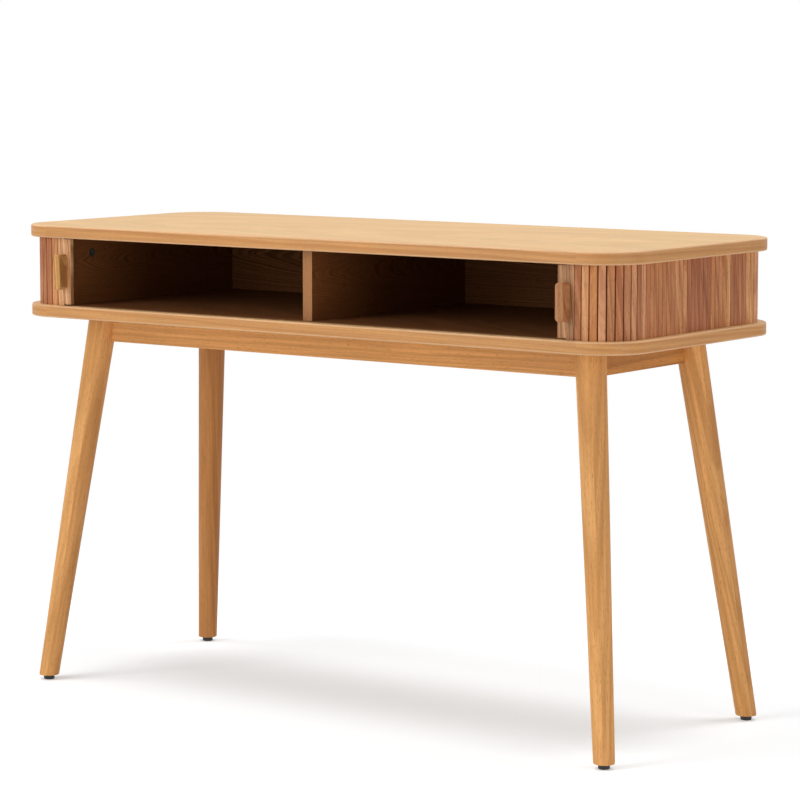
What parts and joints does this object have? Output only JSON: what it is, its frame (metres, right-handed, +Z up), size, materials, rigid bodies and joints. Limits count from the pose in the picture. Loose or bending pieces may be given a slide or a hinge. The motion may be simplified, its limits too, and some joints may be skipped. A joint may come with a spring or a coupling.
{
  "type": "tambour desk",
  "caption": "Writing desk with a round-cornered oak-veneer case on splayed tapered legs; tambour doors of narrow slats slide in tracks to close the open compartments under its top.",
  "frame": {"origin": "on the floor, under the middle of the desktop", "axes": "+X to the sitter's right, seen from the front; -Y towards the sitter; +Z up"},
  "size_m": [1.2, 0.49, 0.774],
  "materials": {
    "oak_veneer": "oak veneer, satin lacquer, lengthwise grain",
    "inner_veneer": "oak veneer, matt lacquer",
    "slat_oak": "solid oak strips of mixed tone, satin lacquer",
    "stile_oak": "solid oak, satin lacquer",
    "leg_wood": "solid rubberwood, stained honey, satin lacquer",
    "canvas": "plain cotton canvas",
    "black_plastic": "moulded, fine matt",
    "zinc_steel": "zinc plated"
  },
  "bodies": {
    "case": {"top_panel": "oak_veneer", "bottom_panel": "oak_veneer", "left_inner_side": "inner_veneer", "right_inner_side": "inner_veneer", "centre_divider": "inner_veneer", "back_panel": "inner_veneer", "left_side_slats": "slat_oak", "left_tail_slats": "slat_oak", "left_canvas": "canvas", "right_side_slats": "slat_oak", "right_tail_slats": "slat_oak", "right_canvas": "canvas", "front_apron": "leg_wood", "back_apron": "leg_wood", "left_apron": "leg_wood", "right_apron": "leg_wood", "front_left_leg": "leg_wood", "front_left_corner_block": "leg_wood", "front_left_foot": "black_plastic", "front_right_leg": "leg_wood", "front_right_corner_block": "leg_wood", "front_right_foot": "black_plastic", "back_left_leg": "leg_wood", "back_left_corner_block": "leg_wood", "back_left_foot": "black_plastic", "back_right_leg": "leg_wood", "back_right_corner_block": "leg_wood", "back_right_foot": "black_plastic", "apron_dowels": "leg_wood", "cam_locks": "black_plastic", "foot_screws": "zinc_steel", "leg_bolts": "zinc_steel", "leg_washers": "zinc_steel", "leg_nuts": "zinc_steel", "frame_screws": "zinc_steel", "carcass_screws": "zinc_steel", "cam_bolts": "zinc_steel"},
    "left_door": {"left_stile": "stile_oak", "left_handle": "stile_oak", "left_handle_screws": "zinc_steel"},
    "right_door": {"right_stile": "stile_oak", "right_handle": "stile_oak", "right_handle_screws": "zinc_steel"}
  },
  "joints": [
    {"name": "left_door_slide", "type": "slide", "parent": "case", "child": "left_door", "axis": [1, 0, 0], "range_m": [0, 0.48175], "deforming": ["left_tail_slats", "left_canvas"]},
    {"name": "right_door_slide", "type": "slide", "parent": "case", "child": "right_door", "axis": [-1, 0, 0], "range_m": [0, 0.48175], "deforming": ["right_tail_slats", "right_canvas"]}
  ]
}
